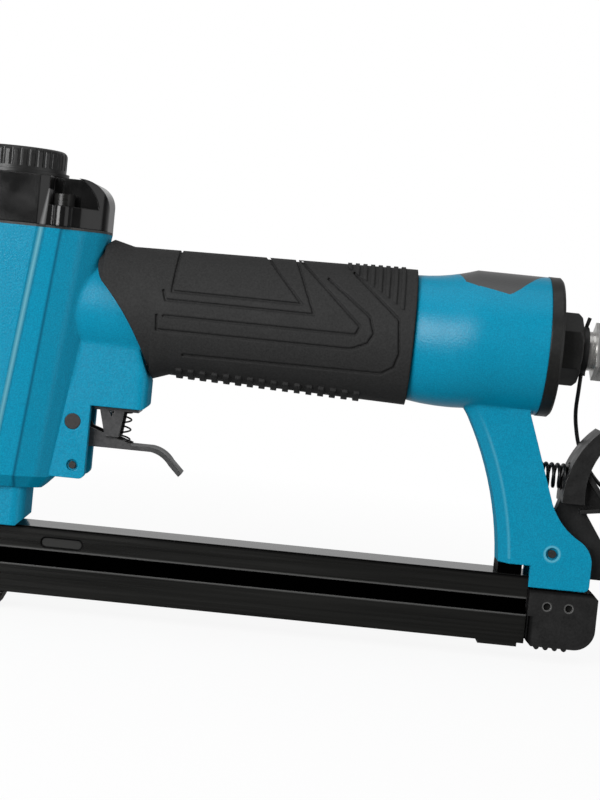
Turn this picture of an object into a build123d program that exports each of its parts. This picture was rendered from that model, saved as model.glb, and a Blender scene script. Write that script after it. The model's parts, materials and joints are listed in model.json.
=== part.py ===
from build123d import *
import math
import os

# Air-driven carpet stapler. Millimetres, +Z up, +X towards the air inlet, -Y the side that shows.
# The origin is on the driver axis, in the work face of the nose.

# Clearances
slip = 0.05  # round fit, per side
free = 0.3  # room between pieces that pass each other
wide = 40.0  # cutters reach this far past the middle

# Driver and staple way
blade_w = 12.6
blade_t = 1.0
blade_room = 0.25
stroke = 30.0
staple_half = 6.9

# Magazine heights and widths
foot_h = 5.5
foot_rear_x = 9.4
foot_chamfer = 2.6
floor_t = 1.0
channel_top_z = 15.7
skirt_z = 20.9
rail_top_z = 28.8
rail_half = 8.5
roof_t = 0.8
leg_t = 0.6
rail_front_x = 1.2
rail_rear_x = 185.0
slot_x = 27.4
slot_l = 14.0
slot_h = 3.4
slot_z = 23.75
slot_sunk = 0.5
channel_rear_x = 185.5
channel_foot_x = 170.0
channel_foot_end_x = 183.2
channel_foot_h = 1.3
core_half = 5.0
core_wall = 1.0
core_slot = 2.6
core_end = 4.0
core_top_z = 26.4
pusher_l = 17.5
pusher_wall = 1.1
pusher_skirt_z = 10.8
pusher_tab_l = 5.0
rod_r = 1.5
rod_z = 17.8
feed_spring_r = 2.6
feed_wire = 0.8
feed_turns = 20

# Magazine grip block
grip_block_l = 23.2
grip_block_half = 9.5
grip_block_low = 0.5
grip_block_round = 7.0
grip_block_chamfer = 2.0
tooth_n = 4
tooth_pitch = 3.1
tooth_x = 4.0
tooth_r = 0.9
grip_screw_r = 1.2
grip_screw_z = 19.1
grip_screw_x = 6.2
grip_screw_step = 7.4
grip_screw_sunk = 1.4

# Nose
nose_plate_t = 4.0
nose_half = 12.5
nose_tip_half = 9.0
nose_shoulder_z = 26.0
nose_tip_z = 21.0
nose_chamfer = 1.5
nose_block_rear_x = 14.0
nose_round = 4.5
nose_heel = 2.4
nose_screw_r = 1.5
nose_screw_l = 8.0
nose_screw_head_r = 2.75
nose_screw_head_h = 2.0
nose_screw_y = 9.4
nose_screw_z = 36.0

# Head casting
head_floor_z = 42.0
head_round = 4.0
top_corner_r = 8.0
low_corner_r = 6.0
floor_corner_r = 4.6
head_top_z = 128.7
head_front_x = 26.0
head_rear_x = 33.0
head_half_w = 24.0
bore_r = 14.5
sleeve_wall = 2.0
sleeve_flange_h = 3.5
sleeve_rim = 4.0
ring_room = 1.5
ring_place = 9.0
ledge_z = 66.0
sleeve_top_z = 122.0
valve_room_r = 20.5
valve_room_h = 11.5

# Piston group
piston_room = 0.2
piston_h = 8.0
piston_ring_h = 2.0
piston_ring_t = 1.6
stem_r = 7.2
stem_h = 12.0
driver_pin_r = 1.25
bumper_hole_r = 8.0

# Head valve
seal_t = 1.2
head_valve_r = 16.0
head_valve_top_z = 134.0
head_spring_r = 9.0
head_spring_wire = 1.2
head_spring_turns = 2
head_spring_pocket = 4.0
head_spring_l = 9.0

# Cap
gasket_t = 0.8
cap_h = 16.2
cap_rear_round = 9.0
cap_front_round = 5.0
pocket_floor_h = 6.7
pocket_front_x = 14.3
pocket_rear_x = 30.0
pocket_y = 11.5
pocket_front_more = 1.5
pocket_bulge_x = 27.2
pocket_bulge_h = 6.4
pocket_top_x = 20.4
screw_x = 18.6
screw_y = 16.5
screw_r = 2.0
screw_head_r = 3.5
screw_head_h = 4.0
screw_depth = 10.0
screw_key = 3.0
boss_r = 3.2
boss_y = 20.0
port_r = 2.0
port_ring = 10.0

# Exhaust deflector
knob_r = 16.2
knob_h = 8.8
knob_round = 2.0
knob_flange_r = 17.3
knob_flange_h = 1.2
knob_wall = 3.5
knob_top_t = 4.0
flute_n = 36
flute_r = 0.8
flute_out = 0.3
hub_r = 5.0
shoulder_r = 2.5
deflector_head_r = 4.6
deflector_head_h = 2.2
driver_slot = 1.0
window_half = 6.0

# Trigger housing and cheeks
cheek_half = 11.0
cheek_rear_x = 33.0
cheek_floor_z = 46.5
cheek_round = 2.0
web_round = 3.2
pin_ring = 0.7
pin_ring_depth = 0.9
cheek_slot_x = 21.0
valve_housing_z = 71.4
valve_housing_x = 51.5
web_front_x = 12.0
web_rear_z = 80.6
web_knee = (47.7, 91.4)
web_brow = (41.6, 102.2)
web_top_x = 35.0
web_top_z = 109.0
trigger_pin_x = 27.5
trigger_pin_z = 65.5
trigger_pin_r = 2.65
bracket_pin_x = 28.7
bracket_pin_z = 50.9
bracket_pin_r = 1.2

# Trigger
trigger_half = 6.1
trigger_side = 0.4
trigger_sheet = 1.5
trigger_eye_r = 4.2
trigger_floor_z = 57.4
trigger_floor_t = 1.5
trigger_wall_x = 47.0
tongue_x = 54.0
tongue_low_mid = (57.6, 56.1)
tongue_top_mid = (58.4, 57.4)
tongue_low_end = (60.5, 53.4)
tongue_tip_low = (64.1, 49.9)
tongue_tip_top = (65.1, 51.0)
tongue_top_end = (61.5, 54.5)
trigger_heel_x = 26.3
trigger_heel_z = 60.4
trigger_brow = (33.0, 63.8)
trigger_lip = 0.4

# Trigger valve
plate_t = 1.3
plate_front_x = 34.0
plate_rear_x = 48.9
lug_t = 1.2
lug_top = 8.1
lug_low = 4.7
lug_l = 8.8
lug_x = 40.0
lug_notch = 2.0
lug_lean = 0.6
stem_x = 39.5
valve_stem_r = 1.5
valve_stem_l = 21.0
valve_body_r = 5.0
valve_body_h = 19.0
valve_ring_t = 0.9
valve_ring_low = 4.0
valve_ring_step = 8.0
trigger_spring_x = 43.9
trigger_spring_r = 2.3
trigger_wire = 0.5
trigger_turns = 3
spring_boss_r = 1.6
spring_boss_h = 1.0

# Handle
handle_z = 105.0
handle_rear_z = 104.5
end_z = 105.9
core_front_x = 15.0
core_front_y = 14.6
core_front_h = 17.9
core_rear_y = 16.4
core_rear_h = 20.8
grip_rear_x = 138.0
grip_t = 2.2
grip_gap = 0.4
grip_top_x = 36.2
grip_top_end = (35.0, 127.2)
grip_nose = (31.3, 119.2)
grip_knee = (33.2, 113.2)
grip_web = (42.0, 102.5)
grip_low_end = (52.3, 80.6)
flare_y = 17.4
flare_h = 21.2
flare_x = 158.0
flare_mid_x = 148.0
flare_in_y = 2.4
flare_in_h = 1.2
end_x = 182.0
end_r = 23.4
chamber_r = 12.0
chamber_front_x = 36.0
spigot_r = 19.0
spigot_l = 10.0

# Grip detail
rib_n = 16
rib_pitch = 4.0
rib_x = 60.0
rib_l = 2.0
rib_h = 0.8
rib_half = 9.0
lip_h = 2.4
top_lip_x = 33.0
top_lip_end_x = 42.0
low_lip_x = 51.0
low_lip_end_x = 57.5
groove_w = 0.9
groove_depth = 0.6
chevron_n = 8
chevron_pitch = 2.6
chevron_x = 114.0
chevron_w = 1.3
chevron_h = 0.5
chevron_field = [(110.7, 128.0), (135.4, 128.0), (135.4, 112.4)]
panel_line = [(58.0, 128.0), (56.8, 112.0), (99.9, 112.0), (85.6, 128.0)]
step_line = [(54.0, 112.0), (55.0, 109.0), (104.2, 109.0), (96.2, 128.0)]
loop_line = [
    (52.6, 103.7), (52.9, 98.9), (117.1, 98.9), (122.6, 101.2), (124.4, 104.8), (122.7, 110.1), (107.9, 121.2)
]
inner_line = [(54.8, 103.7), (118.4, 103.7), (119.7, 106.6), (98.6, 126.0)]
border_line = [(62.1, 91.4), (128.0, 91.8), (132.0, 94.2), (133.4, 98.9), (132.3, 110.1), (116.3, 124.0)]

# Air inlet
end_cap_t = 4.5
end_cap_r = 23.6
end_cap_chamfer = 0.8
end_ring_t = 1.2
bush_flats = 21.4
bush_l = 8.1
bush_thread_r = 8.0
bush_chamfer = 1.2
bush_bore_r = 4.2
plug_thread_r = 6.6
plug_neck_l = 5.0
plug_collar_flats = 17.0
plug_collar_l = 5.0
plug_r = 5.0
plug_groove_r = 3.8
plug_tail_r = 4.3
plug_l = 19.0
plug_seat_l = 6.0
plug_head_x = 11.6
plug_head_end = 14.0
plug_slope = 0.7
plug_bore_r = 2.8

# Springs
spring_bend = 1.3  # end bend, in wires
spring_checks = 400

# Rear strut
strut_half = 9.5
fork_half = 6.9
fork_front_x = 183.8
fork_top_z = 57.3
strut_floor_z = 25.2
strut_notch_z = 32.4
strut_notch_x = 185.0
strut_top_x = 157.5
strut_blend = (153.9, 86.0)
strut_edge = 3.4
strut_front_waist = (160.1, 79.4)
strut_front_mid = (169.0, 59.0)
strut_front_x = 174.3
strut_rear_x = 205.4
strut_heel_r = 2.0
strut_shoulder_z = 34.7
strut_shoulder_mid = (204.1, 38.9)
strut_shoulder_end = (200.8, 42.1)
strut_hollow = (194.6, 46.9)
strut_hollow_end = (190.2, 53.8)
strut_rear_mid = (185.0, 68.4)
strut_rear_waist = (179.6, 83.4)
strut_rear_top_x = 178.6
spacer_front_x = 174.4
spacer_rear_x = 182.5

# Latch
latch_x = 191.8
latch_z = 37.0
latch_pin_r = 1.35
latch_half = 8.0
latch_neck_half = 3.0
latch_pad_z = 54.3
latch_front_x = 193.6
latch_rear_x = 201.2
latch_rear_mid = (201.9, 65.3)
latch_tip_rear = (208.0, 76.2)
latch_tip_front = (204.4, 79.6)
latch_front_mid = (196.3, 68.7)
latch_neck_lap = 2.0
latch_waist = (203.2, 50.4)
latch_knee = (210.0, 40.5)
latch_hook_z = 28.9
latch_hook_x = 203.0
latch_hook_end_x = 210.0
latch_heel_x = 198.6
latch_heel_z = 32.7
latch_tab_half = 6.0
latch_tab = [(200.0, 67.6), (212.6, 51.6), (211.3, 50.6), (198.7, 66.6)]
latch_shelf = [(200.2, 51.0), (209.9, 52.4), (208.9, 53.7), (200.2, 52.4)]
latch_rib = [(200.2, 65.2), (209.6, 53.2), (200.2, 52.0)]
latch_toe_x = 188.4
latch_toe_top = (187.7, 40.3)
latch_shin = (191.3, 47.3)
latch_seat_t = 3.0
latch_spring_z = 62.8
latch_spring_r = 3.9
latch_wire = 1.2
latch_turns = 4
latch_seat_x = 185.2
latch_spring_l = 12.2
latch_boss_r = 4.9
latch_boss_l = 6.0

# Tether
cord_d = 1.4
cord_ease = 0.45  # share of a run that its bend takes
loop_w = 1.7
loop_gap = 0.8
tail_l = 4.0
tail_way = (0.25, -0.15, 1)
cap_r = 6.4
cap_bore_r = 5.1
cap_l = 13.0
cap_end_t = 3.0
cap_chamfer = 1.0
cord_points = [
    (196.25, 0.0, 97.4),
    (196.1, 0.0, 92.4),
    (196.4, 4.6, 85.8),
    (197.7, 9.8, 80.2),
    (200.0, 12.2, 72.0),
    (204.6, 12.6, 64.2),
    (209.4, 12.8, 59.2),
    (217.4, 13.0, 55.2),
    (219.0, 13.0, 50.2),
    (219.0, 13.0, 46.0),
]

# Values worked out from the sizes above
channel_floor_z = foot_h + free
blade_slot_y = blade_w / 2 + blade_room
blade_slot_x = blade_t / 2 + blade_room
plate_front_face = -blade_slot_x
sleeve_r = bore_r + sleeve_wall
housing_bore_r = sleeve_r + ring_room
cap_low_z = head_top_z + gasket_t
cap_top_z = cap_low_z + cap_h
pocket_floor_z = cap_low_z + pocket_floor_h
cap_room_z = head_valve_top_z - head_spring_pocket + head_spring_l
knob_low_z = cap_top_z + free
knob_top_z = knob_low_z + knob_h
bumper_top_z = sleeve_top_z - free - piston_h - stroke - free
piston_low_z = bumper_top_z + free + stroke
stem_low_z = piston_low_z - stem_h
blade_tip_z = stroke + free
plate_low_z = valve_housing_z - plate_t
valve_ring_z = valve_housing_z + valve_ring_low
valve_ring_places = (valve_ring_z, valve_ring_z + valve_ring_step)
trigger_top_z = trigger_floor_z + trigger_floor_t
bush_x = end_x + end_cap_t
bush_end_x = bush_x + bush_l
collar_x = bush_end_x + plug_neck_l
plug_x = collar_x + plug_collar_l
plug_end_x = plug_x + plug_l
loop_x = bush_end_x + loop_gap + loop_w / 2
core_low_z = channel_floor_z + floor_t
core_front = rail_front_x + free
core_rear = channel_rear_x - free
pusher_x = core_front + free
pusher_low_z = core_top_z + free
pusher_top_z = rail_top_z - roof_t - free
feed_front_x = pusher_x + pusher_l
feed_rear_x = core_rear - core_end
block_x = channel_rear_x + free
block_end_x = block_x + grip_block_l
block_top_z = strut_floor_z - free
block_low_z = channel_floor_z - grip_block_low


def block(x0, x1, y0, y1, z0, z1):
    size = Box(x1 - x0, y1 - y0, z1 - z0)
    return Pos((x0 + x1) / 2, (y0 + y1) / 2, (z0 + z1) / 2) * size


def rod(radius, start, axis, length):
    body = Cylinder(radius, length, align=(Align.CENTER, Align.CENTER, Align.MIN))
    return Plane(origin=start, z_dir=axis) * body


def pin(radius, x, z, half):
    return rod(radius, (x, -half, z), (0, 1, 0), 2 * half)


def tube(outer, inner, start, axis, length):
    return rod(outer, start, axis, length) - rod(inner, start, axis, length)


def plate(face, y0, y1):
    # A profile drawn in X and Z, made solid from y0 to y1
    side = Plane(origin=(0, y1, 0), x_dir=(1, 0, 0), z_dir=(0, -1, 0))
    return extrude(side * face, amount=y1 - y0, dir=(0, -1, 0))


def cross(face, x0, x1):
    # A profile drawn in Y and Z, made solid from x0 to x1
    end = Plane(origin=(x0, 0, 0), x_dir=(0, 1, 0), z_dir=(1, 0, 0))
    return extrude(end * face, amount=x1 - x0, dir=(1, 0, 0))


def oval(x, z, half_y, half_z):
    end = Plane(origin=(x, 0, z), x_dir=(0, 1, 0), z_dir=(1, 0, 0))
    return end * Ellipse(half_y, half_z)


def hexagon(flats, x0, length, z):
    end = Plane(origin=(x0, 0, z), x_dir=(0, 1, 0), z_dir=(1, 0, 0))
    face = end * RegularPolygon(flats / 2, 6, major_radius=False, rotation=30)
    return extrude(face, amount=length, dir=(1, 0, 0))


def both(part):
    return part + mirror(part, about=Plane.XZ)


def write(part, name):
    export_step(part, os.path.join("parts", name + ".step"))


def biarc(p0, t0, p1, t1):
    # Two arcs that leave p0 along t0, arrive at p1 along t1 and meet without a corner
    v = p1 - p0
    t = t0 + t1
    k = 2 * (1 - t0.dot(t1))
    d = (math.sqrt(v.dot(t) ** 2 + k * v.dot(v)) - v.dot(t)) / k
    middle = (p0 + t0 * d + p1 - t1 * d) * 0.5
    first = TangentArc(p0, middle, tangent=t0)
    return [first, TangentArc(middle, p1, tangent=first % 1)]


def spring(name, radius, wire, turns, length, quarters):
    # A coil along Z from 0 to length, each end bent to run straight into its seat
    bend = spring_bend * wire
    rise = length - 2 * (wire + bend)
    pitch = rise / turns
    lead = math.atan2(pitch, 2 * math.pi * radius)

    def place(angle, low):
        return Vector(radius * math.cos(angle), radius * math.sin(angle), low + pitch * angle / (2 * math.pi))

    def heading(angle):
        flat = math.cos(lead)
        return Vector(-math.sin(angle) * flat, math.cos(angle) * flat, math.sin(lead))

    up = Vector(0, 0, 1)
    sweep_angle = math.pi / 2 - lead
    low = wire + bend * math.sin(sweep_angle)
    top_angle = 2 * math.pi * turns
    steps = turns * quarters
    ahead = Vector(0, 1, 0)
    first = place(0, low)
    foot = first - (ahead * (1 - math.cos(sweep_angle)) + up * math.sin(sweep_angle)) * bend
    edges = [Line(foot - up * wire, foot), TangentArc(foot, first, tangent=up)]
    for i in range(steps):
        a = top_angle * i / steps
        b = top_angle * (i + 1) / steps
        edges += biarc(place(a, low), heading(a), place(b, low), heading(b))
    last = place(top_angle, low)
    head = last + (ahead * (1 - math.cos(sweep_angle)) + up * math.sin(sweep_angle)) * bend
    edges += [TangentArc(last, head, tangent=heading(top_angle)), Line(head, head + up * wire)]
    path = Wire(edges)
    start = Plane(origin=foot - up * wire, z_dir=(0, 0, 1))
    body = sweep(start * Circle(wire / 2), path=path)
    samples = [path @ (i / spring_checks) for i in range(spring_checks + 1)]
    apart = math.pi * radius
    step = path.length / spring_checks
    gap = min(
        (samples[i] - samples[j]).length - wire
        for i in range(spring_checks + 1)
        for j in range(i)
        if (i - j) * step > apart
    )
    print(f"{name}: least gap of the coil to itself {gap:.2f} mm")
    return body


def head_half(
    front, rear, half, brow, brow_drop, panel, wall, wall_drop, shoulder, drop, run, rear_drop, corner
):
    # One side of the head seen from above, from the front to the rear: the raised panel, its wall, the rest
    return [
        (-front, half - corner),
        (-brow, half - brow_drop),
        (-panel, half),
        (panel, half),
        (panel + wall, half - wall_drop),
        (shoulder, half - drop),
        (rear - run, half - rear_drop),
        (rear, half - corner),
    ]


def head_section(half, radius, z):
    points = half + [(x, -y) for x, y in reversed(half)]
    face = Polygon(*points, align=None)
    rounded = [half[0], half[-2], half[-1]]
    picked = [
        v for v in face.vertices()
        if any(abs(v.X - x) < 1e-6 and abs(abs(v.Y) - y) < 1e-6 for x, y in rounded)
    ]
    return Pos(0, 0, z) * fillet(picked, radius)


top_half = head_half(
    front=head_front_x, rear=head_rear_x, half=head_half_w, brow=21.4, brow_drop=3.0, panel=11.3, wall=2.9,
    wall_drop=2.0, shoulder=19.1, drop=2.8, run=7.0, rear_drop=6.0, corner=13.0,
)
low_half = head_half(
    front=19.0, rear=22.6, half=19.5, brow=12.6, brow_drop=3.2, panel=1.9, wall=1.4,
    wall_drop=1.2, shoulder=10.2, drop=2.1, run=5.4, rear_drop=5.2, corner=9.8,
)
floor_half = head_half(
    front=15.5, rear=18.8, half=16.0, brow=10.4, brow_drop=2.8, panel=1.7, wall=1.2,
    wall_drop=1.0, shoulder=8.4, drop=1.8, run=4.6, rear_drop=4.0, corner=7.2,
)


def head_block(wider):
    sections = [
        head_section(floor_half, floor_corner_r, head_floor_z),
        head_section(low_half, low_corner_r, head_floor_z + head_round),
        head_section(top_half, top_corner_r, head_top_z),
    ]
    if wider:
        sections = [offset(s, amount=wider, kind=Kind.INTERSECTION) for s in sections]
    return loft(sections, ruled=True)


def handle_core(wider):
    front = oval(core_front_x, handle_z, core_front_y + wider, core_front_h + wider)
    rear = oval(grip_rear_x, handle_rear_z, core_rear_y + wider, core_rear_h + wider)
    return loft([front, rear])


def strut_profile():
    front = ThreePointArc(strut_front_waist, strut_front_mid, (strut_front_x, strut_notch_z))
    edges = [
        Line((strut_top_x, end_z), strut_blend),
        TangentArc(strut_front_waist, strut_blend, tangent=-(front % 0)),
        front,
        Line((strut_front_x, strut_notch_z), (strut_notch_x, strut_notch_z)),
        Line((strut_notch_x, strut_notch_z), (strut_notch_x, strut_floor_z)),
        Line((strut_notch_x, strut_floor_z), (strut_rear_x, strut_floor_z)),
        Line((strut_rear_x, strut_floor_z), (strut_rear_x, strut_shoulder_z)),
        ThreePointArc((strut_rear_x, strut_shoulder_z), strut_shoulder_mid, strut_shoulder_end),
        ThreePointArc(strut_shoulder_end, strut_hollow, strut_hollow_end),
        ThreePointArc(strut_hollow_end, strut_rear_mid, strut_rear_waist),
        Line(strut_rear_waist, (strut_rear_top_x, end_z)),
        Line((strut_rear_top_x, end_z), (strut_top_x, end_z)),
    ]
    face = make_face(edges)
    heel = [v for v in face.vertices() if abs(v.X - strut_rear_x) + abs(v.Y - strut_floor_z) < 1e-6]
    return fillet(heel, strut_heel_r)


def pin_well(radius, x, z, half):
    return rod(radius + pin_ring, (x, -half, z), (0, 1, 0), pin_ring_depth)


def main_housing():
    nose = block(plate_front_face, nose_block_rear_x, -nose_half, nose_half, rail_top_z, head_floor_z)
    nose = fillet(nose.edges().filter_by(Axis.Z).group_by(Axis.X)[-1], nose_round)
    heel = Polygon(
        (nose_block_rear_x - nose_heel, rail_top_z),
        (nose_block_rear_x, rail_top_z),
        (nose_block_rear_x, rail_top_z + nose_heel),
        align=None,
    )
    nose -= plate(heel, -nose_half, nose_half)
    side = Polygon(
        (web_front_x, cheek_floor_z),
        (cheek_rear_x, cheek_floor_z),
        (cheek_rear_x, valve_housing_z),
        (valve_housing_x, valve_housing_z),
        (valve_housing_x, web_rear_z),
        web_knee,
        web_brow,
        (web_top_x, web_top_z),
        (web_front_x, web_top_z),
        align=None,
    )
    rounded = [(cheek_rear_x, cheek_floor_z), (valve_housing_x, valve_housing_z)]
    outer = [
        v for v in side.vertices()
        if any(abs(v.X - x) < 1e-6 and abs(v.Y - z) < 1e-6 for x, z in rounded)
    ]
    web = plate(fillet(outer, cheek_round), -cheek_half, cheek_half)
    plan = Rectangle(valve_housing_x, 2 * cheek_half, align=(Align.MIN, Align.CENTER))
    plan = fillet(plan.vertices().group_by(Axis.X)[-1], web_round)
    web &= extrude(plan, amount=head_top_z, dir=(0, 0, 1))
    flare = loft(
        [
            oval(grip_rear_x, handle_rear_z, flare_y, flare_h),
            oval(flare_mid_x, handle_rear_z, end_r - flare_in_y, end_r - flare_in_h),
            oval(flare_x, end_z, end_r, end_r),
        ]
    )
    flare += rod(end_r, (flare_x, 0, end_z), (1, 0, 0), end_x - flare_x)
    strut = plate(strut_profile(), -strut_half, strut_half)
    arcs = strut.edges().filter_by(GeomType.CIRCLE)
    strut = chamfer(arcs.filter_by(lambda e: (e @ 0.5).X < strut_front_x), strut_edge)
    body = head_block(0) + nose + web + handle_core(0) + flare + strut
    body -= rod(housing_bore_r, (0, 0, ledge_z), (0, 0, 1), head_top_z)
    body -= rod(valve_room_r, (0, 0, head_top_z - valve_room_h), (0, 0, 1), valve_room_h)
    body -= block(-blade_slot_x, blade_slot_x, -blade_slot_y, blade_slot_y, rail_top_z, ledge_z)
    body -= rod(chamber_r, (chamber_front_x, 0, handle_z), (1, 0, 0), end_x - chamber_front_x)
    body -= rod(spigot_r + slip, (end_x - spigot_l - free, 0, end_z), (1, 0, 0), spigot_l + free)
    half_slot = trigger_half + trigger_side
    body -= block(cheek_slot_x, cheek_rear_x, -half_slot, half_slot, cheek_floor_z, valve_housing_z)
    body -= rod(valve_body_r + slip, (stem_x, 0, valve_housing_z), (0, 0, 1), valve_body_h + free)
    body -= pin(trigger_pin_r + slip, trigger_pin_x, trigger_pin_z, cheek_half)
    body -= pin(bracket_pin_r + slip, bracket_pin_x, bracket_pin_z, cheek_half)
    body -= both(pin_well(bracket_pin_r, bracket_pin_x, bracket_pin_z, cheek_half))
    body += rod(latch_boss_r, (latch_seat_x - latch_boss_l, 0, latch_spring_z), (1, 0, 0), latch_boss_l)
    body -= rod(latch_boss_r, (latch_seat_x, 0, latch_spring_z), (1, 0, 0), latch_spring_l)
    body -= block(fork_front_x, block_end_x, -fork_half, fork_half, strut_floor_z, fork_top_z)
    body -= pin(latch_pin_r + slip, latch_x, latch_z, strut_half)
    body -= both(pin_well(latch_pin_r, latch_x, latch_z, strut_half))
    for x in (-screw_x, screw_x):
        for y in (-screw_y, screw_y):
            body -= rod(screw_r + slip, (x, y, head_top_z - screw_depth), (0, 0, 1), screw_depth)
    for y in (-nose_screw_y, nose_screw_y):
        body -= rod(nose_screw_r + slip, (plate_front_face, y, nose_screw_z), (1, 0, 0), nose_screw_l + free)
    return body


def cap_pocket():
    floor = pocket_floor_z
    top = cap_top_z + 1
    edges = [
        Line((pocket_front_x, floor), (pocket_rear_x, floor)),
        ThreePointArc((pocket_rear_x, floor), (pocket_bulge_x, floor + pocket_bulge_h), (pocket_top_x, top)),
        Line((pocket_top_x, top), (pocket_front_x, top)),
        Line((pocket_front_x, top), (pocket_front_x, floor)),
    ]
    rear = plate(make_face(edges), -wide, -pocket_y)
    front = block(-wide, -pocket_front_x + pocket_front_more, -wide, -pocket_y, floor, top)
    return both(rear + front)


def cylinder_cap():
    body = extrude(head_section(top_half, top_corner_r, cap_low_z), amount=cap_h, dir=(0, 0, 1))
    boss = rod(boss_r, (screw_x, -boss_y, cap_low_z), (0, 0, 1), pocket_floor_h)
    body += both(boss + mirror(boss, about=Plane.YZ))
    long = head_rear_x + head_front_x + 1
    profile = Rectangle(long, cap_h + 1, align=(Align.MAX, Align.MAX))
    profile = Pos(head_rear_x, cap_top_z) * profile
    rear = profile.vertices().filter_by(lambda v: v.X > 0 and v.Y > cap_low_z)
    profile = fillet(rear, cap_rear_round)
    front = profile.vertices().filter_by(lambda v: v.X < 0 and v.Y > cap_low_z)
    profile = fillet(front, cap_front_round)
    body &= plate(profile, -wide, wide)
    body -= cap_pocket()
    body -= rod(head_valve_r + slip, (0, 0, cap_low_z), (0, 0, 1), cap_room_z - cap_low_z)
    for i in range(4):
        angle = math.radians(45 + 90 * i)
        place = (port_ring * math.cos(angle), port_ring * math.sin(angle), cap_room_z)
        body -= rod(port_r, place, (0, 0, 1), cap_top_z - cap_room_z)
    body -= rod(screw_r + slip, (0, 0, cap_room_z), (0, 0, 1), cap_top_z - cap_room_z)
    for x in (-screw_x, screw_x):
        for y in (-screw_y, screw_y):
            body -= rod(screw_r + slip, (x, y, cap_low_z), (0, 0, 1), pocket_floor_h)
    return body


def cap_gasket():
    body = extrude(head_section(top_half, top_corner_r, head_top_z), amount=gasket_t, dir=(0, 0, 1))
    body -= rod(valve_room_r, (0, 0, head_top_z), (0, 0, 1), gasket_t)
    for x in (-screw_x, screw_x):
        for y in (-screw_y, screw_y):
            body -= rod(screw_r + slip, (x, y, head_top_z), (0, 0, 1), gasket_t)
    return body


def cap_screws():
    shank = screw_depth - free + gasket_t + pocket_floor_h
    screw = rod(screw_r, (0, 0, pocket_floor_z - shank), (0, 0, 1), shank)
    screw += rod(screw_head_r, (0, 0, pocket_floor_z), (0, 0, 1), screw_head_h)
    key = Pos(0, 0, pocket_floor_z + screw_head_h) * RegularPolygon(screw_key / 2, 6, major_radius=False)
    screw -= extrude(key, amount=screw_head_h / 2, dir=(0, 0, -1))
    places = [Pos(x, y, 0) for x in (-screw_x, screw_x) for y in (-screw_y, screw_y)]
    return Compound(children=[p * screw for p in places])


def exhaust_deflector():
    body = rod(knob_r, (0, 0, knob_low_z), (0, 0, 1), knob_h)
    body = fillet(body.edges().group_by(Axis.Z)[-1], knob_round)
    flutes = [
        rod(
            flute_r,
            (
                (knob_r + flute_out) * math.cos(2 * math.pi * i / flute_n),
                (knob_r + flute_out) * math.sin(2 * math.pi * i / flute_n),
                knob_low_z + 2 * knob_flange_h,
            ),
            (0, 0, 1),
            knob_h,
        )
        for i in range(flute_n)
    ]
    body -= flutes
    body += rod(knob_flange_r, (0, 0, knob_low_z), (0, 0, 1), knob_flange_h)
    room = knob_h - knob_top_t
    body -= rod(knob_r - knob_wall, (0, 0, knob_low_z), (0, 0, 1), room)
    body += rod(hub_r, (0, 0, knob_low_z), (0, 0, 1), room)
    low = knob_low_z + knob_flange_h
    body -= block(-knob_flange_r, -hub_r - free, -window_half, window_half, low, knob_low_z + room)
    body -= rod(shoulder_r + slip, (0, 0, knob_low_z), (0, 0, 1), knob_h)
    body -= rod(deflector_head_r + free, (0, 0, knob_top_z - deflector_head_h), (0, 0, 1), knob_h)
    return body


def deflector_screw():
    shoulder = knob_top_z - deflector_head_h + free - cap_top_z
    body = rod(screw_r, (0, 0, cap_room_z + free), (0, 0, 1), cap_top_z - cap_room_z - free)
    body += rod(shoulder_r, (0, 0, cap_top_z), (0, 0, 1), shoulder)
    head_z = cap_top_z + shoulder
    body += rod(deflector_head_r, (0, 0, head_z), (0, 0, 1), deflector_head_h - free)
    half = driver_slot / 2
    slot = block(-deflector_head_r, deflector_head_r, -half, half, head_z + driver_slot, knob_top_z)
    return body - slot


def cylinder_sleeve():
    length = sleeve_top_z - ledge_z
    body = rod(sleeve_r, (0, 0, ledge_z), (0, 0, 1), length)
    for z in (ledge_z, sleeve_top_z - sleeve_flange_h - sleeve_rim):
        body += rod(housing_bore_r - slip, (0, 0, z), (0, 0, 1), sleeve_flange_h)
    return body - rod(bore_r, (0, 0, ledge_z), (0, 0, 1), length)


def sleeve_o_rings():
    ring = Torus(sleeve_r + ring_room / 2, ring_room / 2 - slip / 2)
    places = (ledge_z + ring_place, sleeve_top_z - sleeve_flange_h - ring_place)
    return Compound(children=[Pos(0, 0, z) * ring for z in places])


def piston():
    radius = bore_r - piston_room
    body = rod(radius, (0, 0, piston_low_z), (0, 0, 1), piston_h)
    groove_z = piston_low_z + (piston_h - piston_ring_h) / 2
    body -= tube(bore_r, radius - piston_ring_t, (0, 0, groove_z), (0, 0, 1), piston_ring_h)
    body += rod(stem_r, (0, 0, stem_low_z), (0, 0, 1), stem_h)
    half = blade_t / 2 + slip
    side = blade_w / 2 + slip
    body -= block(-half, half, -side, side, stem_low_z, piston_low_z)
    return body - rod(driver_pin_r + slip, (-stem_r, 0, stem_low_z + stem_h / 2), (1, 0, 0), 2 * stem_r)


def piston_ring():
    inner = bore_r - piston_room - piston_ring_t + slip
    z = piston_low_z + (piston_h - piston_ring_h) / 2 + slip
    return tube(bore_r - slip, inner, (0, 0, z), (0, 0, 1), piston_ring_h - 2 * slip)


def driver_blade():
    top = piston_low_z - free
    body = block(-blade_t / 2, blade_t / 2, -blade_w / 2, blade_w / 2, blade_tip_z, top)
    return body - rod(driver_pin_r + slip, (-stem_r, 0, stem_low_z + stem_h / 2), (1, 0, 0), 2 * stem_r)


def driver_pin():
    half = stem_r - 2 * free
    return rod(driver_pin_r, (-half, 0, stem_low_z + stem_h / 2), (1, 0, 0), 2 * half)


def bumper():
    height = bumper_top_z - ledge_z
    return tube(bore_r - free, bumper_hole_r, (0, 0, ledge_z), (0, 0, 1), height)


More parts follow.
